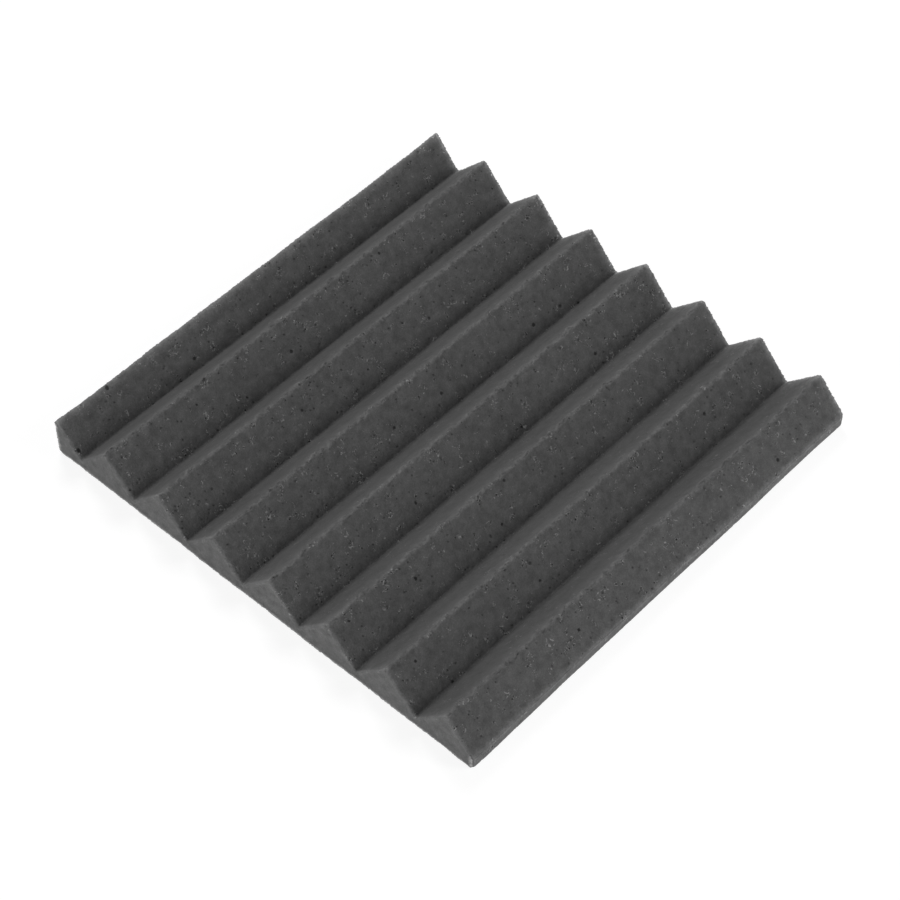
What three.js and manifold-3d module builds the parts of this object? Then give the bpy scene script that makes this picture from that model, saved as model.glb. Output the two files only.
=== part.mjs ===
// Wedge-profile acoustic foam tile.
//
// One block of open-cell foam with a flat back and a field of straight V wedges on its front. A contour knife
// cuts two such tiles out of one slab, so that the ridges of one come out of the valleys of the other, and the
// tile is then cropped square without regard to the pitch: its left side falls just past a ridge line and its
// right side just short of a valley line.
//
// Sizes are in millimetres. x runs across the wedges, y along them, and z from the wall face out to the ridges.
// The origin is the middle of the back face.
import * as THREE from "three";
import { mergeVertices } from "three/addons/utils/BufferGeometryUtils.js";
import Module from "manifold-3d";

// The tile as it is cropped.
const tileWidth = 300; // across the wedges
const tileLength = 300; // along the wedges

// The wedges.
const overallHeight = 27.5; // back face to the top of a ridge's round
const baseHeight = 6.8; // back face to the floor of a valley's round
const wedgePitch = 40.6; // ridge line to ridge line
const leftCrop = 2.1; // how far past the first ridge line the left side is cut

// What a knife and handling leave of sharp edges in soft foam.
const ridgeRadius = 1.3;
const valleyRadius = 0.7;
const leftTopRadius = 1; // long top edge of the tall left side, an acute edge
const rightTopRadius = 3; // long top edge of the low right side, an obtuse edge
const footRadius = 2.6; // long bottom edges of both sides
const cornerRadius = 2.4; // upright edges at the tile's four corners
const endEase = 0.7; // edges of the two end faces

// How finely the rounds are drawn.
const arcSteps = 3; // half the facets of each round
const easeSteps = 2;

// Closer than this to a side face, the wedge line gets no corner of its own.
const leastStep = 0.05;
// What the cutting prism has over the tile's height, on each side.
const overrun = 5;

const foam = new THREE.MeshStandardMaterial({ color: 0x47474a, roughness: 0.96, metalness: 0 });

const leftSide = -tileWidth / 2;
const rightSide = tileWidth / 2;
const firstRidge = leftSide - leftCrop;
const halfPitch = wedgePitch / 2;

// The ease of the end faces runs over the section's outward rounds, so it is never wider than the tightest.
const ease = Math.min(endEase, ridgeRadius, leftTopRadius);

/**
 * Heights of the sharp wedge, before its ridges and valleys are rounded. A round ends short of its sharp corner by
 * its radius times (flank / halfPitch - 1), and the flank is hypot(halfPitch, rise). So the rise from sharp valley
 * to sharp ridge, less what both rounds take off, is overallHeight - baseHeight: a quadratic in the rise.
 */
function sharpHeights() {
  const roundsShare = (ridgeRadius + valleyRadius) / halfPitch;
  const squareShare = 1 - roundsShare * roundsShare;
  const less = overallHeight - baseHeight - ridgeRadius - valleyRadius;
  const rise = (less + roundsShare * Math.sqrt(less * less + halfPitch * halfPitch * squareShare)) / squareShare;
  const beyond = Math.hypot(halfPitch, rise) / halfPitch - 1;
  return { ridge: overallHeight + ridgeRadius * beyond, valley: baseHeight - valleyRadius * beyond };
}

const sharp = sharpHeights();

/** Height of the sharp wedge line at x: a triangle wave, highest at each ridge. */
function wedgeLine(x) {
  const turns = (x - firstRidge) / wedgePitch;
  const offRidge = Math.abs(turns - Math.round(turns)); // 0 at a ridge and a half in a valley
  return sharp.ridge - 2 * offRidge * (sharp.ridge - sharp.valley);
}

/** The section's corners, in order round it, each with the radius that its edge is rounded to. */
function sectionCorners() {
  const corners = [
    { x: leftSide, z: 0, radius: footRadius },
    { x: rightSide, z: 0, radius: footRadius },
    { x: rightSide, z: wedgeLine(rightSide), radius: rightTopRadius },
  ];
  const lastTurn = Math.floor((rightSide - leastStep - firstRidge) / halfPitch);
  for (let turn = lastTurn; firstRidge + turn * halfPitch > leftSide + leastStep; turn -= 1) {
    const isRidge = turn % 2 === 0;
    corners.push({
      x: firstRidge + turn * halfPitch,
      z: isRidge ? sharp.ridge : sharp.valley,
      radius: isRidge ? ridgeRadius : valleyRadius,
    });
  }
  corners.push({ x: leftSide, z: wedgeLine(leftSide), radius: leftTopRadius });
  return corners;
}

/** A closed shape through the corners, with an arc in each. A round never takes over half of a side next to it. */
function roundedShape(corners) {
  const shape = new THREE.Shape();
  corners.forEach((corner, i) => {
    const here = new THREE.Vector2(corner.x, corner.z);
    const before = corners[(i + corners.length - 1) % corners.length];
    const after = corners[(i + 1) % corners.length];
    const into = here.clone().sub(new THREE.Vector2(before.x, before.z));
    const out = new THREE.Vector2(after.x, after.z).sub(here);
    const longest = Math.min(into.length(), out.length()) / 2;
    into.normalize();
    out.normalize();
    const turn = Math.atan2(into.cross(out), into.dot(out)); // positive to the left
    const perRadius = Math.tan(Math.abs(turn) / 2);
    const radius = Math.min(corner.radius, longest / perRadius);
    const start = here.clone().addScaledVector(into, -radius * perRadius);
    const side = Math.sign(turn);
    const centre = start.clone().add(new THREE.Vector2(-into.y, into.x).multiplyScalar(side * radius));
    const from = Math.atan2(start.y - centre.y, start.x - centre.x);
    shape.absarc(centre.x, centre.y, radius, from, from + turn, turn < 0);
  });
  shape.closePath();
  return shape;
}

/** The wedge section carried along the tile's length, with the edges of both end faces eased. */
function wedgeBlock() {
  const geometry = new THREE.ExtrudeGeometry(roundedShape(sectionCorners()), {
    depth: tileLength - 2 * ease,
    curveSegments: arcSteps,
    bevelEnabled: true,
    bevelThickness: ease,
    bevelSize: ease,
    bevelOffset: -ease,
    bevelSegments: easeSteps,
  });
  geometry.translate(0, 0, ease - tileLength / 2);
  return geometry.rotateX(Math.PI / 2);
}

/** The tile's outline seen from the front, with its corners rounded, as a prism that is taller than the tile. */
function cornerPrism() {
  const back = -tileLength / 2;
  const front = tileLength / 2;
  const outline = roundedShape([
    { x: leftSide, z: back, radius: cornerRadius },
    { x: rightSide, z: back, radius: cornerRadius },
    { x: rightSide, z: front, radius: cornerRadius },
    { x: leftSide, z: front, radius: cornerRadius },
  ]);
  const geometry = new THREE.ExtrudeGeometry(outline, {
    depth: overallHeight + 2 * overrun,
    curveSegments: arcSteps,
    bevelEnabled: false,
  });
  return geometry.translate(0, 0, -overrun);
}

const wasm = await Module();
wasm.setup();

/** A closed three.js geometry as a solid that can be cut. */
function toSolid(geometry) {
  const bare = geometry.index ? geometry.toNonIndexed() : geometry.clone();
  bare.deleteAttribute("normal");
  bare.deleteAttribute("uv");
  const merged = mergeVertices(bare);
  return new wasm.Manifold(
    new wasm.Mesh({
      numProp: 3,
      vertProperties: merged.attributes.position.array,
      triVerts: new Uint32Array(merged.index.array),
    }),
  );
}

/** A cut solid as a three.js geometry again. */
function toGeometry(solid) {
  const mesh = solid.getMesh();
  const geometry = new THREE.BufferGeometry();
  geometry.setAttribute("position", new THREE.BufferAttribute(mesh.vertProperties, mesh.numProp));
  geometry.setIndex(new THREE.BufferAttribute(mesh.triVerts, 1));
  geometry.computeVertexNormals();
  return geometry;
}

/** The whole tile: the wedge block inside its rounded outline. */
function wedgeTile() {
  const mesh = new THREE.Mesh(toGeometry(toSolid(wedgeBlock()).intersect(toSolid(cornerPrism()))), foam);
  mesh.name = "wedge_foam_tile";
  return mesh;
}

const panel = new THREE.Group();
panel.name = "acoustic_foam_panel";
panel.add(wedgeTile());

export default panel;
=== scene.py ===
"""Looks of a wedge-profile acoustic foam tile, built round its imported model.

The tile is one block of charcoal open-cell foam. Its surface is a closed lattice that follows the cut
section. The lattice is then roughened as foam is: by the knife's slow waver and straying ridges, by nibbled
and frayed edges, by the cells that the cut opened, and by the slab's bubbles wherever it passes through one.

Lengths are in metres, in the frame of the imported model: x across the wedges, y along them, z out of the back.
"""

from __future__ import annotations

import logging
import math
from collections.abc import Iterator
from dataclasses import dataclass, field
from enum import Enum
from functools import cached_property

import bpy
import numpy as np
from mathutils import Matrix, Vector


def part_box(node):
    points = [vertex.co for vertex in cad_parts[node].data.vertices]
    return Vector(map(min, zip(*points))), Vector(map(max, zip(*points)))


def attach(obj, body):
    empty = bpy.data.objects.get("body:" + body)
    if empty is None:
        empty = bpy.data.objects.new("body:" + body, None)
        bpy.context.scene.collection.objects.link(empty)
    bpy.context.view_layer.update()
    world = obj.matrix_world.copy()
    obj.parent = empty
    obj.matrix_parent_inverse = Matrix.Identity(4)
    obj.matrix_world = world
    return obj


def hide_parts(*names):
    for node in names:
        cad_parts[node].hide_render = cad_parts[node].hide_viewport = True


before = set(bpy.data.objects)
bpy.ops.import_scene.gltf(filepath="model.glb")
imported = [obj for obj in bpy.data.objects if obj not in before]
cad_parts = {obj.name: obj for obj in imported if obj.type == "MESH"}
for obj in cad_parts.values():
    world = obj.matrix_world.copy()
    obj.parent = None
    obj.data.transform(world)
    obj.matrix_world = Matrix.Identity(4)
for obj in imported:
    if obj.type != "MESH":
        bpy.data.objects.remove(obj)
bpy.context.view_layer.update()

MM = 0.001  # one millimetre
TINY = 1e-12  # stands for a length of nothing where one is divided by
TILE_NODE = "wedge_foam_tile"
BODY = "root"
WHITE = (1.0, 1.0, 1.0, 1.0)
NOISE_MIDDLE = 0.5
NOISE_ROUGHNESS = 0.55

Counts = tuple[np.ndarray, np.ndarray, np.ndarray]  # where points are in the lattice: across, up and along
Range = tuple[float, float]

log = logging.getLogger("foam_tile")


class Side(Enum):
    """The tile's six sides, each with its rectangle on the flat map: low u, low v, high u, high v."""

    WEDGES = (0.0, 0.0, 1.0, 0.672)
    BACK = (0.0, 0.680, 0.320, 1.0)
    TALL_SIDE = (0.326, 0.680, 1.0, 0.742)
    LOW_SIDE = (0.326, 0.748, 1.0, 0.776)
    NEAR_END = (0.326, 0.784, 1.0, 0.848)
    FAR_END = (0.326, 0.856, 1.0, 0.920)

    def on_map(self, u: np.ndarray, v: np.ndarray) -> np.ndarray:
        """Shares of the side's width and height as points of the flat map."""
        low_u, low_v, high_u, high_v = self.value
        return np.stack([low_u + u * (high_u - low_u), low_v + v * (high_v - low_v)], axis=1)


def unit(vectors: np.ndarray) -> np.ndarray:
    """Vectors along the last axis at length one."""
    return vectors / np.maximum(np.linalg.norm(vectors, axis=-1, keepdims=True), TINY)


def eased(values: np.ndarray, start: float | np.ndarray, end: float | np.ndarray) -> np.ndarray:
    """0 at start and before, 1 at end and past it, and 3 t^2 - 2 t^3 at a share t of the way between."""
    t = np.clip((values - start) / (end - start), 0.0, 1.0)
    return t * t * (3.0 - 2.0 * t)


def along_path(path: np.ndarray, shares: np.ndarray) -> np.ndarray:
    """Points of an open path at shares of its length.

    Args:
        path: The path's own points, one a row.
        shares: Where to read it, from 0 at its start to 1 at its end.

    Returns:
        One point a share.
    """
    steps = np.linalg.norm(np.diff(path, axis=0), axis=1)
    run = np.concatenate([[0.0], np.cumsum(steps)])
    return np.stack([np.interp(shares * run[-1], run, values) for values in path.T], axis=1)


@dataclass(frozen=True)
class WedgeSection:
    """The section across the wedges: flat below, a rounded triangle wave above, cropped at both sides."""

    left: float
    right: float
    ridge_height: float
    valley_height: float = 6.8 * MM
    pitch: float = 40.6 * MM
    left_crop: float = 2.1 * MM
    ridge_radius: float = 1.3 * MM
    valley_radius: float = 1.2 * MM
    tall_top_radius: float = 1.0 * MM
    low_top_radius: float = 3.0 * MM
    foot_radius: float = 2.6 * MM
    arc_points: int = 9
    bulge_reach: float = 0.03

    @property
    def half_pitch(self) -> float:
        """From a ridge line to the next valley line."""
        return self.pitch / 2

    @property
    def first_ridge(self) -> float:
        """Where the first ridge line would be, just outside the tall side."""
        return self.left - self.left_crop

    def turns(self, x: float | np.ndarray) -> float | np.ndarray:
        """How many pitches x is past the first ridge line."""
        return (x - self.first_ridge) / self.pitch

    def sharp_heights(self) -> tuple[float, float]:
        """Heights of the sharp ridge and valley lines, of which the rounds take a little off.

        A round ends short of its corner by its radius times (flank / half pitch - 1), where the flank is the
        hypotenuse of half pitch and rise. That makes a quadratic in the rise.

        Returns:
            The sharp ridge's height and the sharp valley's height.
        """
        rounds = self.ridge_radius + self.valley_radius
        share = rounds / self.half_pitch
        square = 1.0 - share**2
        less = self.ridge_height - self.valley_height - rounds
        rise = (less + share * math.sqrt(less**2 + self.half_pitch**2 * square)) / square
        beyond = math.hypot(self.half_pitch, rise) / self.half_pitch - 1.0
        lift, drop = self.ridge_radius * beyond, self.valley_radius * beyond
        return self.ridge_height + lift, self.valley_height - drop

    def sharp_line(self, x: float) -> float:
        """Height of the sharp wedge line at x: a triangle wave, highest at each ridge line."""
        ridge, valley = self.sharp_heights()
        return ridge - 2.0 * abs(self.turns(x) - round(self.turns(x))) * (ridge - valley)

    def corners(self) -> np.ndarray:
        """The section's sharp corners, anticlockwise from the foot of the tall side.

        Returns:
            A row for each: its x, its z and the radius that it is rounded to.
        """
        ridge, valley = self.sharp_heights()
        kinds = ((ridge, self.ridge_radius), (valley, self.valley_radius))
        first = math.ceil((self.left - self.first_ridge) / self.half_pitch)
        last = math.floor((self.right - self.first_ridge) / self.half_pitch)
        lines = ((self.first_ridge + n * self.half_pitch, *kinds[n % 2]) for n in range(last, first - 1, -1))
        return np.array(
            [
                (self.left, 0.0, self.foot_radius),
                (self.right, 0.0, self.foot_radius),
                (self.right, self.sharp_line(self.right), self.low_top_radius),
                *lines,
                (self.left, self.sharp_line(self.left), self.tall_top_radius),
            ]
        )

    def outline(self) -> np.ndarray:
        """The closed section with an arc in each corner.

        Each arc starts on the side that runs into its corner, radius times the tangent of half the turn
        before it, and swings round a centre that lies square to that side. Points are reckoned as x + iz.

        Returns:
            Points as (corner, point of its arc, 2).
        """
        x, z, radius = self.corners().T[:, :, None]
        corner = x + 1j * z
        into = corner - np.roll(corner, 1, axis=0)
        into = into / np.abs(into)
        turn = np.angle(np.roll(into, -1, axis=0) * into.conj())
        start = corner - into * radius * np.tan(np.abs(turn) / 2)
        spoke = -1j * into * radius * np.sign(turn)
        arc = start - spoke + spoke * np.exp(1j * turn * np.linspace(0.0, 1.0, self.arc_points))
        return np.stack([arc.real, arc.imag], axis=2)

    def rim(self, across: int, up: int) -> np.ndarray:
        """The section's outline as the rim of a lattice, split in the middle of its four outer arcs.

        The top is read at even steps of its length, the foot under the same x, and both sides at even steps.

        Args:
            across: Steps from the tall side to the low side.
            up: Steps from the back to the wedges.

        Returns:
            Points as (across + 1, up + 1, 2), of which those inside the rim are zero.
        """
        arcs = self.outline()
        path = arcs.reshape(-1, 2)
        tall_foot, low_foot, low_top, tall_top = (
            corner * self.arc_points + self.arc_points // 2 for corner in (0, 1, 2, len(arcs) - 1)
        )
        tall_side = np.concatenate([path[tall_top:], path[: tall_foot + 1]])[::-1]
        columns, rows = np.linspace(0.0, 1.0, across + 1), np.linspace(0.0, 1.0, up + 1)
        found = np.zeros((across + 1, up + 1, 2))
        found[:, -1] = along_path(path[low_top : tall_top + 1][::-1], columns)
        found[:, 0] = along_path(path[tall_foot : low_foot + 1], self.shares_across(found[:, -1]))
        found[0] = along_path(tall_side, rows)
        found[-1] = along_path(path[low_foot : low_top + 1], rows)
        return found

    @staticmethod
    def shares_across(top: np.ndarray) -> np.ndarray:
        """How far across each point of the top is, from 0 to 1."""
        return (top[:, 0] - top[0, 0]) / (top[-1, 0] - top[0, 0])

    def filled(self, rim: np.ndarray) -> np.ndarray:
        """A rim with the lattice inside it filled in.

        Each column runs straight from the foot to the top. How far a side bulges from a straight line is
        added to the columns near it, less the further they are: by (1 - distance / reach)^2.

        Args:
            rim: Points as (columns, rows, 2), of which the rim is read.

        Returns:
            Points as (columns, rows, 2).
        """
        row = np.linspace(0.0, 1.0, rim.shape[1])[None, :, None]
        straight = (1.0 - row) * rim[:, :1] + row * rim[:, -1:]
        column = self.shares_across(rim[:, -1])[:, None, None]
        for at, distance in ((0, column), (-1, 1.0 - column)):
            bulge = rim[at] - straight[at]
            straight = straight + bulge * np.maximum(1.0 - distance / self.bulge_reach, 0.0) ** 2
        return straight


@dataclass(frozen=True)
class Waver:
    """Slow unevenness, as a sum of sine waves that run in random directions."""

    height: float
    shortest: float
    longest: float
    waves: int
    seed: int

    def at(self, places: np.ndarray) -> np.ndarray:
        """The waver's height at each place, about one height either way.

        Args:
            places: Points as (count, 3).

        Returns:
            Heights as (count,).
        """
        rng = np.random.default_rng(self.seed)
        ways = unit(rng.normal(size=(self.waves, 3)))
        lengths = rng.uniform(self.shortest, self.longest, self.waves)
        phases = rng.uniform(0.0, 2 * math.pi, self.waves)
        total = np.zeros(len(places))
        for way, length, phase in zip(ways, lengths, phases):
            total += np.sin(places @ (way * (2 * math.pi / length)) + phase)
        return self.height * total / math.sqrt(self.waves / 2)


@dataclass(frozen=True)
class Scatter:
    """Points strewn through the block, one at random in each cube of a grid."""

    spacing: float
    seed: int

    def neighbours(self, places: np.ndarray) -> Iterator[tuple[np.ndarray, np.ndarray]]:
        """Strews the points, and goes through the 27 cubes in and round each place's own.

        Args:
            places: Points as (count, 3).

        Yields:
            For each of the 27, the vector from its point to each place, and the point's three random numbers.
        """
        corner = places.min(axis=0) - 2 * self.spacing
        shape = np.ceil((places.max(axis=0) + 2 * self.spacing - corner) / self.spacing).astype(int)
        cubes = np.indices(shape).reshape(3, -1).T
        rng = np.random.default_rng(self.seed)
        points = corner + (cubes + rng.random((len(cubes), 3))) * self.spacing
        luck = rng.random((len(cubes), 3))
        home = ((places - corner) / self.spacing).astype(int)
        for step in np.ndindex(3, 3, 3):
            x, y, z = (home + (np.array(step) - 1)).T
            at = (x * shape[1] + y) * shape[2] + z
            yield places - points[at], luck[at]


@dataclass(frozen=True)
class CellRelief(Scatter):
    """The cells that the knife opened: a shallow hollow in each, some far deeper than others."""

    depth: float
    shallowest: float = 0.25

    def at(self, places: np.ndarray) -> np.ndarray:
        """Depth of the open cells at each place.

        With d1 and d2 the distances to the nearest two cell middles, a hollow is 1 - (d1 / d2)^2 deep: full
        in the cell's middle and nothing on the wall between two cells. Each cell has its own random depth.

        Args:
            places: Points as (count, 3).

        Returns:
            Depths as (count,).
        """
        nearest = np.full(len(places), np.inf)
        second = np.full(len(places), np.inf)
        share = np.zeros(len(places))
        for offset, luck in self.neighbours(places):
            square = np.einsum("ij,ij->i", offset, offset)
            closer = square < nearest
            second = np.where(closer, nearest, np.minimum(second, square))
            nearest = np.where(closer, square, nearest)
            share = np.where(closer, luck[:, 0], share)
        own_depth = self.shallowest + (1.0 - self.shallowest) * share**2
        return self.depth * (1.0 - nearest / second) * own_depth


@dataclass(frozen=True)
class Bubbles(Scatter):
    """Bubbles of one range of sizes in the slab, which show as pits where the cut passes through them."""

    least: float
    largest: float
    present: float
    deepest: float
    eased_share: float = 0.25

    def at(self, places: np.ndarray, inward: np.ndarray) -> np.ndarray:
        """How far each place sinks into the bubble that it is in.

        A place inside a ball goes inward until it leaves the ball: with w the vector from the ball's middle
        and b how far outward that is, by b + sqrt(b^2 - w^2 + r^2). It is eased near the ball's skin.

        Args:
            places: Points as (count, 3).
            inward: The unit direction into the foam at each place.

        Returns:
            Depths as (count,), none past the deepest.
        """
        depth = np.zeros(len(places))
        for offset, luck in self.neighbours(places):
            radius = self.least + (self.largest - self.least) * luck[:, 0] ** 2
            radius = np.where(luck[:, 1] < self.present, radius, 0.0)
            square = np.einsum("ij,ij->i", offset, offset)
            inside = np.flatnonzero(square < radius**2)
            if not inside.size:
                continue
            r, w = radius[inside], np.sqrt(square[inside])
            outward_by = -np.einsum("ij,ij->i", offset[inside], inward[inside])
            sunk = outward_by + np.sqrt(np.maximum(outward_by**2 - w**2 + r**2, 0.0))
            depth[inside] = np.maximum(depth[inside], sunk * eased(r - w, 0.0, self.eased_share * r))
        return np.minimum(depth, self.deepest)


@dataclass(frozen=True)
class Lattice:
    """A closed box of lattice points: fine over the wedges, twice as coarse on the back.

    A point is told by three counts: across the wedges, up from the back, and along the wedges. Its key packs
    them into one number. Patches that meet share the points on their common edge.
    """

    across: int
    up: int
    along: int

    def key(self, i: int | np.ndarray, j: int | np.ndarray, k: int | np.ndarray) -> np.ndarray:
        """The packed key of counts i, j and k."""
        return (np.asarray(i) * (self.up + 1) + j) * (self.along + 1) + k

    def counts(self, keys: np.ndarray) -> Counts:
        """The three counts that keys were packed from."""
        rest, k = np.divmod(keys, self.along + 1)
        return *np.divmod(rest, self.up + 1), k

    @staticmethod
    def squares(keys: np.ndarray) -> np.ndarray:
        """The corners of each square of a sheet of keys, anticlockwise seen from first x second axis."""
        corners = [keys[:-1, :-1], keys[1:, :-1], keys[1:, 1:], keys[:-1, 1:]]
        return np.stack(corners, axis=-1).reshape(-1, 4)

    @staticmethod
    def seam(coarse: np.ndarray, fine: np.ndarray) -> np.ndarray:
        """The triangles between a coarse row and the fine row above it, turned as the squares are.

        Args:
            coarse: Keys of the coarse row.
            fine: Keys of the fine row, of which every second is over one of the coarse row.

        Returns:
            Rows of three keys, three triangles to each coarse step.
        """
        a, b = coarse[:-1], coarse[1:]
        first, middle, last = fine[:-2:2], fine[1:-1:2], fine[2::2]
        triangles = ((a, b, middle), (a, middle, first), (b, last, middle))
        return np.concatenate([np.stack(triangle, axis=-1) for triangle in triangles])

    def faces(self) -> list[tuple[Side, np.ndarray]]:
        """Every face of the box, turned outwards.

        Returns:
            Patches of faces as rows of keys, each with the side that it is on.
        """
        i, j, k = np.arange(self.across + 1), np.arange(self.up + 1), np.arange(self.along + 1)
        top = self.key(i[:, None], self.up, k[None])
        back = self.key(i[::2, None], 0, k[None, ::2])
        found = [(Side.WEDGES, self.squares(top)), (Side.BACK, self.squares(back)[:, ::-1])]
        for side, at, way in ((Side.TALL_SIDE, 0, -1), (Side.LOW_SIDE, self.across, 1)):
            found.append((side, self.squares(self.key(at, j[None, 1:], k[:, None]))[:, ::way]))
            found.append((side, self.seam(self.key(at, 0, k[::2]), self.key(at, 1, k))[:, ::way]))
        for side, at, way in ((Side.NEAR_END, 0, 1), (Side.FAR_END, self.along, -1)):
            found.append((side, self.squares(self.key(i[:, None], j[None, 1:], at))[:, ::way]))
            found.append((side, self.seam(self.key(i[::2], 0, at), self.key(i, 1, at))[:, ::way]))
        return found


@dataclass
class Surface:
    """The tile's surface while it is worked on.

    Attributes:
        places: The points as (count, 3).
        corners: The point at each corner of a face, face after face.
        starts: Where each face starts among the corners.
        flat: Where each corner lies on the flat map.
        lengths: Distances at each point that the finish reads, by title.
        shares: Shares at each point that it reads, by title.
    """

    places: np.ndarray
    corners: np.ndarray
    starts: np.ndarray
    flat: np.ndarray
    lengths: dict[str, np.ndarray]
    shares: dict[str, np.ndarray] = field(default_factory=dict)

    def normals(self) -> np.ndarray:
        """The outward direction at each point: the sum of its faces' areas as vectors, at length one.

        A face's area is half the cross product of its diagonals. A triangle's last corner is its third, so
        that its second diagonal is its last edge.

        Returns:
            Vectors as (count, 3).
        """
        ends = np.append(self.starts[1:], len(self.corners)) - 1
        four = (self.starts, self.starts + 1, self.starts + 2, ends)
        a, b, c, d = (self.places[self.corners[at]] for at in four)
        spread = np.repeat(np.cross(c - a, d - b), ends - self.starts + 1, axis=0)
        total = [np.bincount(self.corners, values, len(self.places)) for values in spread.T]
        return unit(np.stack(total, axis=1))


@dataclass
class FoamTile:
    """The foam tile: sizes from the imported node, and the relief that the cut left on it."""

    low: Vector
    high: Vector
    name: str = "foam_tile"
    # The lattice, and the rounds that the section doesn't have.
    grain: float = 0.5 * MM
    rows_up: int = 34
    end_ease: float = 0.7 * MM
    ease_steps: int = 2
    tall_corner_radius: float = 0.7 * MM
    low_corner_radius: float = 1.9 * MM
    # The way that each kind of side faces: from none of it at the first value of the normal to all of it.
    flank_facing: Range = (0.0, 1 / 3)
    torn_facing: Range = (-0.5, 0.5)
    sawn_facing: Range = (0.8, 0.925)
    # The relief of torn flanks and sawn sides, and its shares on planed faces and combed flanks.
    proud: float = 0.4 * MM
    planed_share: float = 0.4
    combed_share: float = 0.3
    waver: Waver = Waver(height=0.12 * MM, shortest=30 * MM, longest=90 * MM, waves=14, seed=11)
    cells: CellRelief = CellRelief(spacing=1.4 * MM, seed=21, depth=0.3 * MM)
    pores: Bubbles = Bubbles(2.6 * MM, 31, least=0.35 * MM, largest=0.8 * MM, present=0.8, deepest=0.7 * MM)
    voids: Bubbles = Bubbles(8.0 * MM, 32, least=0.6 * MM, largest=1.4 * MM, present=0.4, deepest=1.2 * MM)
    room_at_edge: float = 0.25 * MM
    room_slope: float = 0.5
    # Nibbled and frayed edges, and ridges that stray to the side.
    nibble: Waver = Waver(height=0.8 * MM, shortest=3 * MM, longest=9 * MM, waves=36, seed=12)
    nibble_reach: float = 1.6 * MM
    nibble_lift: float = 6 * MM
    edge_share: float = 0.25
    fuzz: float = 0.25 * MM
    fuzz_limit: float = 2.0
    fuzz_reach: float = 0.7 * MM
    fuzz_seed: int = 13
    wander: Waver = Waver(height=0.6 * MM, shortest=4 * MM, longest=12 * MM, waves=30, seed=14)
    wander_reach: float = 2.2 * MM
    wander_from_end: Range = (1.1 * MM, 3.3 * MM)
    # The far tip of the tall side, bent out.
    flare: float = 1.6 * MM
    flare_reach: float = 14 * MM
    # How much further off than it is the low side's brim counts, so that less of it gets the painted highlight.
    low_brim_lead: float = 2.0 * MM
    low_brim_stretch: float = 1.3
    low_wall_lead: float = 5.0 * MM
    # Painted glow near either end, standing in for light that comes through the fuzzy cut there: its steep
    # part, on every flank, and its slow part, on combed ones.
    near_end_painted_glow: Range = (0.2, 0.22)
    far_end_painted_glow: Range = (2.4, 0.95)
    steep_reach: float = 1.4 * MM
    slow_reach: float = 6.5 * MM

    @cached_property
    def section(self) -> WedgeSection:
        """The section across the wedges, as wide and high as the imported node."""
        return WedgeSection(self.low.x, self.high.x, self.high.z)

    @cached_property
    def rim(self) -> np.ndarray:
        """The section as the rim of the lattice."""
        return self.section.rim(self.lattice.across, self.lattice.up)

    @cached_property
    def lattice(self) -> Lattice:
        """The lattice, in steps of about a grain over the wedges, and even ones for the coarser back.

        Returns:
            The lattice.
        """
        top = self.section.outline()[2:].reshape(-1, 2)
        around = np.linalg.norm(np.diff(top, axis=0), axis=1).sum()
        across, along = (2 * round(length / self.grain / 2) for length in (around, self.high.y - self.low.y))
        return Lattice(across, self.rows_up, along)

    def smooth_places(self, counts: Counts) -> np.ndarray:
        """The points before any relief: the section carried along the tile, with its upright corners rounded.

        Over the first and last few cross-sections it is drawn in along a quarter circle, to round the ends.

        Args:
            counts: The counts of each point.

        Returns:
            Points as (count, 3).
        """
        i, j, k = counts
        steps = self.lattice.along
        from_end = np.minimum(k, steps - k)
        angle = np.clip(from_end / self.ease_steps, 0.0, 1.0) * (math.pi / 2)
        inner = (self.high.y - self.low.y) - 2 * self.end_ease
        step = inner / (steps - 2 * self.ease_steps)
        depth = np.maximum(from_end - self.ease_steps, 0) * step + self.end_ease * (1.0 - np.cos(angle))
        y = np.where(k <= steps // 2, self.low.y + depth, self.high.y - depth)
        inset = self.end_ease * (1.0 - np.sin(angle))
        inwards = self.rim_inwards()
        cap = self.section.filled(self.rim + inwards * self.end_ease)
        x, z = np.where(from_end > 0, (self.rim[i, j] + inwards[i, j] * inset[:, None]).T, cap[i, j].T)
        return self.round_corners(np.stack([x, y, z], axis=1))

    def rim_inwards(self) -> np.ndarray:
        """The inward direction at each point of the rim, square to the line between its neighbours.

        Returns:
            Directions as (columns, rows, 2), zero inside the rim.
        """
        across, up = self.lattice.across, self.lattice.up
        columns, rows = np.arange(across), np.arange(up)
        i = np.concatenate([columns, np.full(up, across), across - columns, np.zeros(up, int)])
        j = np.concatenate([np.zeros(across, int), rows, np.full(across, up), up - rows])
        loop = self.rim[i, j]
        tangent = unit(np.roll(loop, -1, axis=0) - np.roll(loop, 1, axis=0))
        found = np.zeros_like(self.rim)
        found[i, j] = np.stack([-tangent[:, 1], tangent[:, 0]], axis=1)
        return found

    def round_corners(self, places: np.ndarray) -> np.ndarray:
        """Rounds the four upright corners: within a radius of both faces, a square is drawn into its circle.

        A point there, seen from the circle's middle, keeps its direction, and its distance is multiplied by
        its larger coordinate over its distance.

        Args:
            places: Points as (count, 3).

        Returns:
            The moved points.
        """
        low, high = np.array(self.low.xy), np.array(self.high.xy)
        centre = (low + high) / 2
        offset = places[:, :2] - centre
        half = (high - low) / 2 - np.where(offset[:, :1] < 0, self.tall_corner_radius, self.low_corner_radius)
        past = np.maximum(np.abs(offset) - half, 0.0)
        scale = past.max(axis=1) / np.maximum(np.hypot(past[:, 0], past[:, 1]), TINY)
        drawn = np.minimum(np.abs(offset), half) + past * scale[:, None]
        return np.concatenate([centre + np.sign(offset) * drawn, places[:, 2:]], axis=1)

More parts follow.
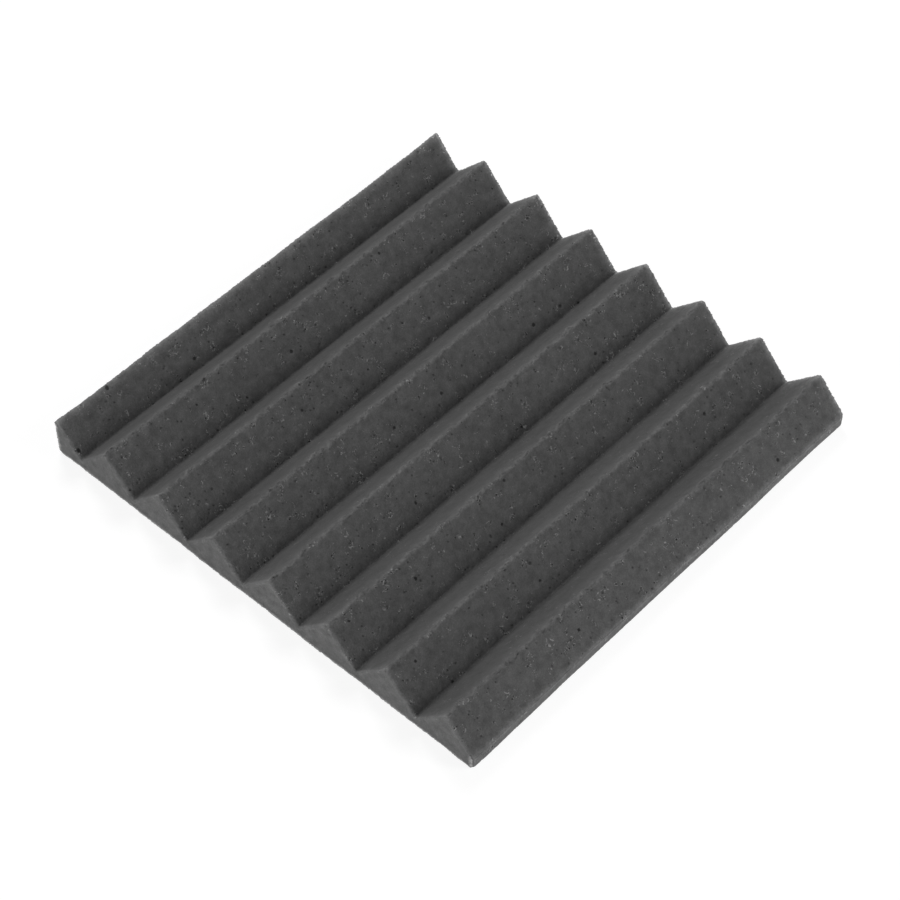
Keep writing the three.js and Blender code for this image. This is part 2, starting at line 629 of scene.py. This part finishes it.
    def surface(self) -> Surface:
        """Lays the closed surface before its relief, with its flat map, on which the wedges are unrolled.

        Returns:
            The surface.
        """
        faces = self.lattice.faces()
        keys, corners = np.unique(np.concatenate([rows.ravel() for _, rows in faces]), return_inverse=True)
        sizes = np.concatenate([np.full(len(rows), rows.shape[1]) for _, rows in faces])
        counts = self.lattice.counts(keys)
        places = self.smooth_places(counts)
        x, y, z = ((places - np.array(self.low)) / np.array(self.high - self.low)).T
        across, up = counts[0] / self.lattice.across, counts[1] / self.lattice.up
        shares = {
            Side.WEDGES: (across, y),
            Side.BACK: (x, y),
            Side.TALL_SIDE: (y, up),
            Side.LOW_SIDE: (y, up),
            Side.NEAR_END: (x, z),
            Side.FAR_END: (x, z),
        }
        flat, done = [], 0
        for side, rows in faces:
            at = corners[done : done + rows.size]
            flat.append(side.on_map(*(share[at] for share in shares[side])))
            done += rows.size
        starts = np.cumsum(sizes) - sizes
        return Surface(places, corners, starts, np.concatenate(flat), self.nearness(counts, places))

    def nearness(self, counts: Counts, places: np.ndarray) -> dict[str, np.ndarray]:
        """How far each point is from the nearest ridge, other edge and brim of a side, and from the foot.

        Args:
            counts: The counts of each point.
            places: The points.

        Returns:
            The four distances by title. A face that has no such edge gives the tile's length.
        """
        section = self.section
        i, j, k = counts
        x, y, z = places.T
        kinds = [(k == 0) | (k == self.lattice.along), j == self.lattice.up, j == 0]
        far = np.full(len(places), self.high.y - self.low.y)
        ridge, valley = section.sharp_heights()
        lean = math.hypot(section.half_pitch, ridge - valley) / section.half_pitch
        turns = section.turns(x)
        to_ridge = np.abs(turns - np.round(turns)) * section.pitch * lean
        from_tall_side, from_low_side = x - self.low.x, self.high.x - x
        to_side = np.minimum(from_tall_side, from_low_side)
        to_end = np.minimum(y - self.low.y, self.high.y - y)
        up = z - self.low.z
        down = self.rim[i, -1, 1] - z
        end_edge = np.minimum(down / lean, np.minimum(up, to_side))
        side_edge = np.minimum(down, np.minimum(up, to_end))
        brim = np.minimum(from_tall_side, self.low_brim_lead + self.low_brim_stretch * from_low_side) * lean
        wall_lead = np.where(i > 0, self.low_wall_lead, 0.0)
        # For each title: the distance on the ends, on the wedges, on the back and on the sides.
        by_face = {
            "ridge": (far, to_ridge, far, far),
            "edge": (end_edge, np.minimum(to_end, to_side * lean), np.minimum(to_end, to_side), side_edge),
            "brim": (far, brim, far, wall_lead + down),
            "foot": (np.minimum(up, to_side), far, far, up),
        }
        return {title: np.maximum(np.select(kinds, each[:3], each[3]), 0) for title, each in by_face.items()}

    def roughen(self, surface: Surface) -> None:
        """Moves the points as the foam's relief says, and keeps what the finish reads.

        The whole surface first stands a little proud, as cut foam does. From there the slow waver and the
        fuzz of frayed edges move it either way, and nibbles, open cells and pits take it inwards, a pit only
        as deep as the foam behind it allows. The blade tears the flanks that face the low side and combs the
        others, and the crop saw leaves both sides rough. The nibbling is read a little outside each point, so
        that the two sides of an edge are nibbled apart. The back stays on the floor.

        Args:
            surface: The smooth surface. It is changed.
        """
        places, normals = surface.places, surface.normals()
        flank = eased(normals[:, 2], *self.flank_facing)
        torn = flank * eased(normals[:, 0], *self.torn_facing)
        combed = flank - torn
        sawn = eased(np.abs(normals[:, 0]), *self.sawn_facing) * (1.0 - flank)
        strength = self.planed_share + (1.0 - self.planed_share) * np.maximum(torn, sawn)
        strength = strength + (self.combed_share - self.planed_share) * combed
        cells = self.cells.at(places) * strength
        pores = self.pores.at(places, -normals) * strength
        voids = self.voids.at(places, -normals) * np.maximum(torn, self.combed_share)
        to_ridge, to_edge = surface.lengths["ridge"], surface.lengths["edge"]
        to_any = np.minimum(to_ridge, to_edge)
        pits = np.minimum(np.maximum(pores, voids), self.room_at_edge + self.room_slope * to_any)
        scattered = np.random.default_rng(self.fuzz_seed).standard_normal(len(places))
        scattered = np.clip(scattered, -self.fuzz_limit, self.fuzz_limit)
        fuzz = self.fuzz * scattered * np.exp(-to_any / self.fuzz_reach)
        near_ridge, near_edge = (np.exp(-distance / self.nibble_reach) for distance in (to_ridge, to_edge))
        nibble = np.maximum(self.nibble.at(places + normals * self.nibble_lift), 0.0)
        nibble = nibble * np.maximum(near_ridge, self.edge_share * near_edge)
        sunk = nibble + fuzz + np.maximum(cells, pits) - self.proud - self.waver.at(places)
        surface.places = places - normals * sunk[:, None]
        self.bend(surface)
        surface.lengths["pit"] = pits
        surface.shares = {"torn": torn, "combed": combed, "sawn": sawn}
        # The more a point faces an end, the less of the painted glow near the ends it has.
        surface.shares["painted_glow_near_ends"] = self.painted_glow_near_ends(surface) * (1.0 - np.abs(normals[:, 1]))

    def bend(self, surface: Surface) -> None:
        """Lets the ridge lines stray to the side, as the knife isn't quite straight, and bends the far tip.

        A point strays with its line less by exp(-distance / reach) away from it, and not at all at both ends.
        Near the thin tip where the tall side meets the far end, a point goes outwards over both faces alike,
        by exp(-distance / reach) times its share of the tile's height.

        Args:
            surface: The surface. Its places are changed.
        """
        x, y, z = surface.places.T
        line = self.section.first_ridge + np.round(self.section.turns(x)) * self.section.pitch
        to_end = np.minimum(y - self.low.y, self.high.y - y)
        share = np.exp(-surface.lengths["ridge"] / self.wander_reach)
        share = share * eased(to_end, *self.wander_from_end)
        x = x + self.wander.at(np.stack([line, y, np.zeros_like(y)], axis=1)) * share
        to_tip = np.hypot(x - self.low.x, y - self.high.y)
        out = self.flare * np.exp(-to_tip / self.flare_reach) * z / self.high.z
        surface.places = np.stack([x - out, y + out, np.maximum(z, self.low.z)], axis=1)

    def painted_glow_near_ends(self, surface: Surface) -> np.ndarray:
        """How much paler the flanks are painted near both ends, as painted light for what comes through the
        fuzzy cut there.

        Args:
            surface: The surface, bent, with its shares of torn and combed flank.

        Returns:
            The glow at each point, each part of which falls off by exp(-distance / reach).
        """
        torn, combed = surface.shares["torn"], surface.shares["combed"]
        total = np.zeros(len(surface.places))
        for end, (steep, slow) in ((self.low.y, self.near_end_painted_glow), (self.high.y, self.far_end_painted_glow)):
            distance = np.abs(surface.places[:, 1] - end)
            total += steep * (torn + combed) * np.exp(-distance / self.steep_reach)
            total += slow * combed * np.exp(-distance / self.slow_reach)
        return total

    def mesh(self, surface: Surface) -> bpy.types.Mesh:
        """A smooth-shaded mesh of the surface, with its flat map and the values that the finish reads.

        Args:
            surface: The finished surface.

        Returns:
            The mesh.
        """
        made = bpy.data.meshes.new(self.name)
        made.vertices.add(len(surface.places))
        made.vertices.foreach_set("co", surface.places.astype(np.float32).ravel())
        made.loops.add(len(surface.corners))
        made.loops.foreach_set("vertex_index", surface.corners.astype(np.int32))
        made.polygons.add(len(surface.starts))
        made.polygons.foreach_set("loop_start", surface.starts.astype(np.int32))
        made.update(calc_edges=True)
        made.shade_smooth()
        sheet = made.uv_layers.new(name="OFBake")
        sheet.uv.foreach_set("vector", surface.flat.astype(np.float32).ravel())
        values = {f"{title}_mm": lengths / MM for title, lengths in surface.lengths.items()} | surface.shares
        for title, at_points in values.items():
            layer = made.attributes.new(title, "FLOAT", "POINT")
            layer.data.foreach_set("value", at_points.astype(np.float32))
        return made

    def build(self) -> None:
        """Makes the tile's object, dresses it, hides the imported node and hangs the tile on its body."""
        surface = self.surface()
        self.roughen(surface)
        made = self.mesh(surface)
        made.materials.append(CharcoalFoam().material())
        tile = placed(self.name, made)
        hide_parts(TILE_NODE)
        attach(tile, BODY)
        log.info("%s: %d points, %d faces", self.name, len(surface.places), len(surface.starts))


def placed(name: str, data: bpy.types.ID) -> bpy.types.Object:
    """A new object of that data, put in the scene.

    Args:
        name: The object's name.
        data: Its mesh, light or camera.

    Returns:
        The object.
    """
    made = bpy.data.objects.new(name, data)
    bpy.context.scene.collection.objects.link(made)
    return made


@dataclass(frozen=True)
class Wire:
    """A shader socket to reckon with: an expression on wires adds the Math nodes that work it out."""

    shader: Shader
    socket: bpy.types.NodeSocket | None

    def _math(self, operation: str, *values: Wire | float) -> Wire:
        """A Math node of that operation on the values."""
        return self.shader.node("ShaderNodeMath", dict(enumerate(values)), operation=operation)

    def __add__(self, other: Wire | float) -> Wire:
        """Sum."""
        return self._math("ADD", self, other)

    def __sub__(self, other: Wire | float) -> Wire:
        """Difference."""
        return self._math("SUBTRACT", self, other)

    def __rsub__(self, other: Wire | float) -> Wire:
        """A number less the wire."""
        return self._math("SUBTRACT", other, self)

    def __mul__(self, other: Wire | float) -> Wire:
        """Product."""
        return self._math("MULTIPLY", self, other)

    __radd__ = __add__
    __rmul__ = __mul__

    def at_least(self, other: Wire | float) -> Wire:
        """The larger of the two."""
        return self._math("MAXIMUM", self, other)

    def fading(self, start: float, end: float) -> Wire:
        """0 at start and before, 1 at end and past it, eased between."""
        inputs = {"Value": self, "From Min": start, "From Max": end}
        return self.shader.node("ShaderNodeMapRange", inputs, interpolation_type="SMOOTHSTEP")


Inputs = dict[str | int, Wire | float | tuple[float, ...]]


class Shader:
    """The node tree of a material or world, built by calls."""

    def __init__(self, owner: bpy.types.Material | bpy.types.World) -> None:
        """Empties the tree to build in.

        Args:
            owner: The material or world that the tree belongs to.
        """
        owner.use_nodes = True
        self.tree = owner.node_tree
        self.tree.nodes.clear()

    def node(self, kind: str, inputs: Inputs | None = None, output: str | int = 0, **settings: str) -> Wire:
        """Adds a node.

        Args:
            kind: The node's type, such as ShaderNodeMath.
            inputs: Values or wires by the name or number of the socket that they go to.
            output: The name or number of the output that is wanted.
            settings: The node's own settings, which are set first, as some of them bring the sockets.

        Returns:
            The wanted output, or a wire of nothing from a node that has none.
        """
        made = self.tree.nodes.new(kind)
        for name, value in settings.items():
            setattr(made, name, value)
        for name, value in (inputs or {}).items():
            if isinstance(value, Wire):
                self.tree.links.new(value.socket, made.inputs[name])
            else:
                made.inputs[name].default_value = value
        return Wire(self, made.outputs[output] if made.outputs else None)

    def vector(self, operation: str, first: Wire, second: Wire | tuple[float, ...]) -> Wire:
        """A Vector Math node of that operation on two vectors."""
        return self.node("ShaderNodeVectorMath", {0: first, 1: second}, operation=operation)

    def scaled(self, vector: Wire | tuple[float, ...], by: Wire | float) -> Wire:
        """A colour or vector times a number."""
        return self.node("ShaderNodeVectorMath", {0: vector, "Scale": by}, operation="SCALE")

    def mixed(self, share: Wire, first: Wire, second: Wire) -> Wire:
        """One shader that turns into another as the share goes from 0 to 1."""
        return self.node("ShaderNodeMixShader", {0: share, 1: first, 2: second})

    @cached_property
    def where(self) -> Wire:
        """Object coordinates."""
        return self.node("ShaderNodeTexCoord", output="Object")

    def value(self, title: str) -> Wire:
        """One of the values that the tile keeps at its points."""
        return self.node("ShaderNodeAttribute", output="Fac", attribute_name=title)

    def noise(self, size: float, detail: float = 1.0, output: str = "Fac") -> Wire:
        """Soft noise on object coordinates, whose blobs are about that size."""
        inputs = {"Vector": self.where, "Scale": 1 / size, "Detail": detail, "Roughness": NOISE_ROUGHNESS}
        return self.node("ShaderNodeTexNoise", inputs, output)

    def cells(self, where: Wire, size: float, output: str = "Distance", feature: str = "F1") -> Wire:
        """Random cells whose middles are about that far apart."""
        inputs = {"Vector": where, "Scale": 1 / size}
        return self.node("ShaderNodeTexVoronoi", inputs, output, feature=feature)

    def seen(self) -> Wire:
        """Tells the rays that show a thing, to the camera or by way of a mirror or glass, from all others.

        Returns:
            1 for such a ray, and 0 for those that only light things.
        """
        rays = ("Is Camera Ray", "Is Glossy Ray", "Is Transmission Ray")
        camera, glossy, clear = (self.node("ShaderNodeLightPath", output=ray) for ray in rays)
        return camera.at_least(glossy).at_least(clear)


@dataclass(frozen=True)
class PaintedLightBand:
    """A ragged band of painted highlight along one kind of edge, in millimetres from it."""

    title: str
    glow: float
    reach: Range
    stray: float

    def on(self, shader: Shader, ragged: Wire) -> Wire:
        """The band's painted highlight: whole up to the start of its reach and gone at its end, both made to
        stray.
        """
        distance = shader.value(self.title) + ragged * self.stray
        return self.glow * (1 - distance.fading(*self.reach))


@dataclass(frozen=True)
class CharcoalFoam:
    """Charcoal open-cell foam: matte and mottled, with painted shade in its pits and cell holes, painted glints
    on torn cell walls, painted light on its sides, ends and thin ridges, and painted highlights along its
    edges.
    """

    grey: tuple[float, float, float] = (0.1, 0.1, 0.1)
    roughness: float = 0.96
    specular: float = 0.06
    bump_strength: float = 0.6
    bump_depth: float = 0.25 * MM
    bump_share: float = 0.5
    # The unevenness of its tone, and how much of that a combed flank loses.
    patch_size: float = 70 * MM
    patch_contrast: float = 0.2
    mottle_size: float = 5.0 * MM
    mottle_contrast: float = 0.9
    grain_size: float = 0.8 * MM
    grain_contrast: float = 0.3
    combed_calm: float = 0.5
    # Painted shade in the pits, darker the deeper they are.
    painted_pit_shade: float = 0.45
    pit_reach: Range = (0.15, 0.9)
    # Torn cells: how their walls bend, where they gather and which are chosen, and the parts of a cell, with
    # painted glints on its walls and painted shade in its hole.
    small_cells: float = 1.7 * MM
    large_cells: float = 3.4 * MM
    large_hole_share: float = 0.5
    bend: float = 0.3
    bend_size: float = 0.8
    cluster_size: float = 7.0 * MM
    cluster_weight: float = 1.4
    chosen_from: Range = (1.52, 1.7)
    cells_anywhere: float = 0.1
    cells_torn: float = 0.9
    cells_combed: float = 0.3
    break_size: float = 0.45
    broken_from: Range = (0.51, 0.61)
    wall_reach: Range = (0.045, 0.195)
    hole_reach: Range = (0.13, 0.38)
    # Painted glints on the torn cells' walls.
    painted_glint: float = 1.55
    # Painted shade in the torn cells' holes.
    painted_hole_shade: float = 0.95
    # Painted light on each kind of side, and painted glow where a combed flank is thin.
    painted_sawn_light: float = 0.7
    painted_end_face_light: float = 0.1
    painted_thin_glow: float = 0.36
    thin_reach: Range = (-4.0, 14.0)
    combed_shade: float = 0.01
    # Painted highlights in ragged bands along the ridges, the end edges, the low side's brim and the foot.
    edge_light_size: float = 2.2 * MM
    ridge: PaintedLightBand = PaintedLightBand("ridge_mm", 0.175, (0.96, 2.4), stray=5.0)
    edge: PaintedLightBand = PaintedLightBand("edge_mm", 0.2, (0.1, 1.9), stray=2.0)
    brim: PaintedLightBand = PaintedLightBand("brim_mm", 0.9, (-1.0, 8.0), stray=5.0)
    foot: PaintedLightBand = PaintedLightBand("foot_mm", 2.0, (0.0, 3.0), stray=2.0)
    untorn_ridge: float = 0.5
    ridge_unrest: float = 6.0
    near_ends_unrest: float = 3.0

    def material(self) -> bpy.types.Material:
        """Makes the foam's material, on object coordinates and the tile's own values.

        Returns:
            The material.
        """
        made = bpy.data.materials.new("charcoal_foam")
        shader = Shader(made)
        grain = shader.cells(shader.where, self.grain_size)
        mottle = shader.noise(self.mottle_size, detail=3.0)
        patches = shader.noise(self.patch_size)
        small_glinting_rims, small_shaded_holes = self.torn_cells(shader, self.small_cells)
        large_glinting_rims, large_shaded_holes = self.torn_cells(shader, self.large_cells)
        glinting_rims = small_glinting_rims.at_least(large_glinting_rims)
        shaded_holes = small_shaded_holes.at_least(large_shaded_holes * self.large_hole_share)
        calm = 1 - self.combed_calm * shader.value("combed")
        tone = self.varied(patches, self.patch_contrast) * self.varied(mottle, self.mottle_contrast * calm)
        tone = tone * self.varied(grain, self.grain_contrast * calm)
        # Painted shade in the pits.
        tone = tone * (1 - self.painted_pit_shade * shader.value("pit_mm").fading(*self.pit_reach))
        # Painted shade in the torn cells' holes and painted glints on their walls.
        tone = tone * (1 - self.painted_hole_shade * shaded_holes) + self.painted_glint * glinting_rims
        # Painted light on each kind of side, painted highlights along the edges and painted glow near the ends.
        tone = tone * self.painted_side_light(shader) * (1 + self.painted_edge_light(shader))
        height = ((grain + mottle) * self.bump_share + glinting_rims - shaded_holes) * calm
        bump = {"Strength": self.bump_strength, "Distance": self.bump_depth, "Height": height}
        finish = {
            "Base Color": shader.scaled(self.grey, tone),
            "Roughness": self.roughness,
            "Specular IOR Level": self.specular,
            "Normal": shader.node("ShaderNodeBump", bump),
        }
        shader.node("ShaderNodeOutputMaterial", {"Surface": shader.node("ShaderNodeBsdfPrincipled", finish)})
        return made

    @staticmethod
    def varied(texture: Wire, contrast: Wire | float) -> Wire:
        """1 in the middle of a texture's range, and that contrast from its least to its most."""
        return 1 + contrast * (texture - NOISE_MIDDLE)

    def torn_cells(self, shader: Shader, size: float) -> tuple[Wire, Wire]:
        """Cells that the blade tore: pieces of wall with painted glints, and holes with painted shade, alone or
        in clusters.

        A cell shows where its own luck and a slow noise together are high. Another noise breaks it up into
        parts where its walls show and parts where its hole does. All their lengths are shares of its size.

        Args:
            shader: The shader to build in.
            size: How far apart such cells could be.

        Returns:
            How much each place is on such a wall, and how much it is in such a hole, both 0 to 1.
        """
        waver = shader.noise(self.bend_size * size, output="Color")
        waver = shader.vector("SUBTRACT", waver, (NOISE_MIDDLE,) * 3)
        bent = shader.vector("ADD", shader.where, shader.scaled(waver, 2 * self.bend * size))
        luck = shader.cells(bent, size, "Color")
        crowd = self.cluster_weight * shader.noise(self.cluster_size)
        torn, combed, sawn = (shader.value(title) for title in ("torn", "combed", "sawn"))
        common = self.cells_anywhere + self.cells_torn * (torn + sawn) + self.cells_combed * combed
        chosen = (luck + crowd).fading(*self.chosen_from) * common
        broken = shader.noise(self.break_size * size).fading(*self.broken_from)
        wall = 1 - shader.cells(bent, size, feature="DISTANCE_TO_EDGE").fading(*self.wall_reach)
        hole = 1 - shader.cells(bent, size).fading(*self.hole_reach)
        return chosen * broken * wall, chosen * (1 - broken) * hole

    def painted_side_light(self, shader: Shader) -> Wire:
        """Painted light on each kind of side: the sawn sides and the planed ends are painted paler than a
        flank, standing in for the light that falls on them.

        A combed flank is painted paler towards its ridge, standing in for light that soaks through the thin
        foam there, and a touch darker away from it.

        Args:
            shader: The shader to build in.

        Returns:
            The tone, 1 on a torn flank.
        """
        torn, combed, sawn = (shader.value(title) for title in ("torn", "combed", "sawn"))
        planed = 1 - torn - combed - sawn
        thin = self.painted_thin_glow * (1 - shader.value("ridge_mm").fading(*self.thin_reach)) - self.combed_shade
        return 1 + self.painted_sawn_light * sawn + self.painted_end_face_light * planed + combed * thin

    def painted_edge_light(self, shader: Shader) -> Wire:
        """Painted highlights: a ragged pale band on each kind of edge, and the painted glow near the ends.

        Args:
            shader: The shader to build in.

        Returns:
            The glow, and 0 off the edges.
        """
        ragged = shader.noise(self.edge_light_size, detail=2.0) - NOISE_MIDDLE
        ridge, edge, brim, foot = (
            band.on(shader, ragged) for band in (self.ridge, self.edge, self.brim, self.foot)
        )
        # Painted highlight along the ridges, stronger on torn flanks.
        ridge = ridge * (self.untorn_ridge + shader.value("torn")) * (1 + self.ridge_unrest * ragged)
        # Painted glow near the ends.
        painted_glow_near_ends = shader.value("painted_glow_near_ends") * (1 + self.near_ends_unrest * ragged)
        return ridge + edge + brim + foot + painted_glow_near_ends


def outward(azimuth: float, elevation: float) -> Vector:
    """The direction from the tile to a place at that azimuth, 0 at the near end and 90 at the low side."""
    a, e = math.radians(azimuth), math.radians(elevation)
    return Vector((math.sin(a) * math.cos(e), -math.cos(a) * math.cos(e), math.sin(e)))


@dataclass(frozen=True)
class SoftBox:
    """A square soft light that looks at the tile's middle."""

    name: str
    azimuth: float
    elevation: float
    power: float
    distance: float = 2.2
    size: float = 0.8

    def build(self) -> None:
        """Puts the light in the scene, azimuth counted like the camera's."""
        lamp = bpy.data.lights.new(self.name, "AREA")
        lamp.shape = "SQUARE"
        lamp.size = self.size
        lamp.energy = self.power
        made = placed(self.name, lamp)
        back = outward(self.azimuth, self.elevation)
        made.location = back * self.distance
        made.rotation_mode = "QUATERNION"
        made.rotation_quaternion = (-back).to_track_quat("-Z", "Y")
        made.visible_camera = False


@dataclass(frozen=True)
class Studio:
    """The pale floor, the soft light and the camera at the photograph's angle."""

    aim: tuple[float, float, float] = (4.639 * MM, -7.156 * MM, 0.0)
    azimuth: float = 42.043
    elevation: float = 50.419
    roll: float = 0.4145
    distance: float = 1.42763
    lens: float = 105.6746
    sensor: float = 36.0
    clip: Range = (0.05, 50.0)
    floor_drop: float = 0.2 * MM
    floor_size: float = 8.0
    floor_grey: float = 0.9
    floor_seen: float = 0.2
    floor_glow: float = 0.87
    shadow_reach: float = 0.4
    sky: float = 0.2
    boxes: tuple[SoftBox, ...] = (
        SoftBox("box_left", azimuth=240.0, elevation=44.0, power=22.8),
        SoftBox("box_front", azimuth=0.0, elevation=6.0, power=36.6),
        SoftBox("box_right", azimuth=120.0, elevation=34.0, power=17.6),
        SoftBox("box_low", azimuth=90.0, elevation=6.0, power=6.4),
    )

    def camera(self) -> None:
        """The camera: on a sphere round its aim, turned about its own axis by the roll."""
        back = outward(self.azimuth, self.elevation)
        level = outward(self.azimuth + 90.0, 0.0)
        roll = math.radians(self.roll)
        right = level * math.cos(roll) + back.cross(level) * math.sin(roll)
        data = bpy.data.cameras.new("camera")
        data.lens, data.sensor_width = self.lens, self.sensor
        data.clip_start, data.clip_end = self.clip
        made = placed("camera", data)
        turn = Matrix((right, back.cross(right), back)).transposed().to_4x4()
        made.matrix_world = Matrix.Translation(Vector(self.aim) + back * self.distance) @ turn
        bpy.context.scene.camera = made

    def floor(self) -> None:
        """A plain pale floor that keeps the tile's shadow, and looks white where nothing shades it."""
        half = self.floor_size / 2
        made = bpy.data.meshes.new("floor")
        corners = [(x * half, y * half, -self.floor_drop) for x, y in ((-1, -1), (1, -1), (1, 1), (-1, 1))]
        made.from_pydata(corners, [], [(0, 1, 2, 3)])
        material = bpy.data.materials.new("floor")
        shader = Shader(material)
        plain, dim = (
            shader.node("ShaderNodeBsdfDiffuse", {"Color": (grey, grey, grey, 1.0)})
            for grey in (self.floor_grey, self.floor_seen)
        )
        glow, white = (
            shader.node("ShaderNodeEmission", {"Color": WHITE, "Strength": strength})
            for strength in (self.floor_glow, 1.0)
        )
        from_middle = shader.node("ShaderNodeVectorMath", {0: shader.where}, "Value", operation="LENGTH")
        away = from_middle.fading(self.shadow_reach, 2 * self.shadow_reach)
        shown = shader.mixed(away, shader.node("ShaderNodeAddShader", {0: dim, 1: glow}), white)
        shader.node("ShaderNodeOutputMaterial", {"Surface": shader.mixed(shader.seen(), plain, shown)})
        made.materials.append(material)
        floor = placed("floor", made)

    def world(self) -> None:
        """An even sky, which is white to the camera, to mirrors and through glass."""
        world = bpy.data.worlds.new("studio")
        bpy.context.scene.world = world
        shader = Shader(world)
        sky, white = (
            shader.node("ShaderNodeBackground", {"Color": WHITE, "Strength": strength})
            for strength in (self.sky, 1.0)
        )
        shader.node("ShaderNodeOutputWorld", {"Surface": shader.mixed(shader.seen(), sky, white)})

    def build(self) -> None:
        """Sets the stage and how the picture is written."""
        self.camera()
        self.floor()
        self.world()
        for box in self.boxes:
            box.build()
        bpy.context.scene.view_settings.view_transform = "Standard"
        log.info("studio: %d soft boxes", len(self.boxes))


def main() -> None:
    """Builds the studio and the tile, in that order."""
    logging.basicConfig(level=logging.INFO, format="%(name)s %(message)s")
    Studio().build()
    low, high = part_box(TILE_NODE)
    FoamTile(Vector(low), Vector(high)).build()


if __name__ == "__main__":
    main()
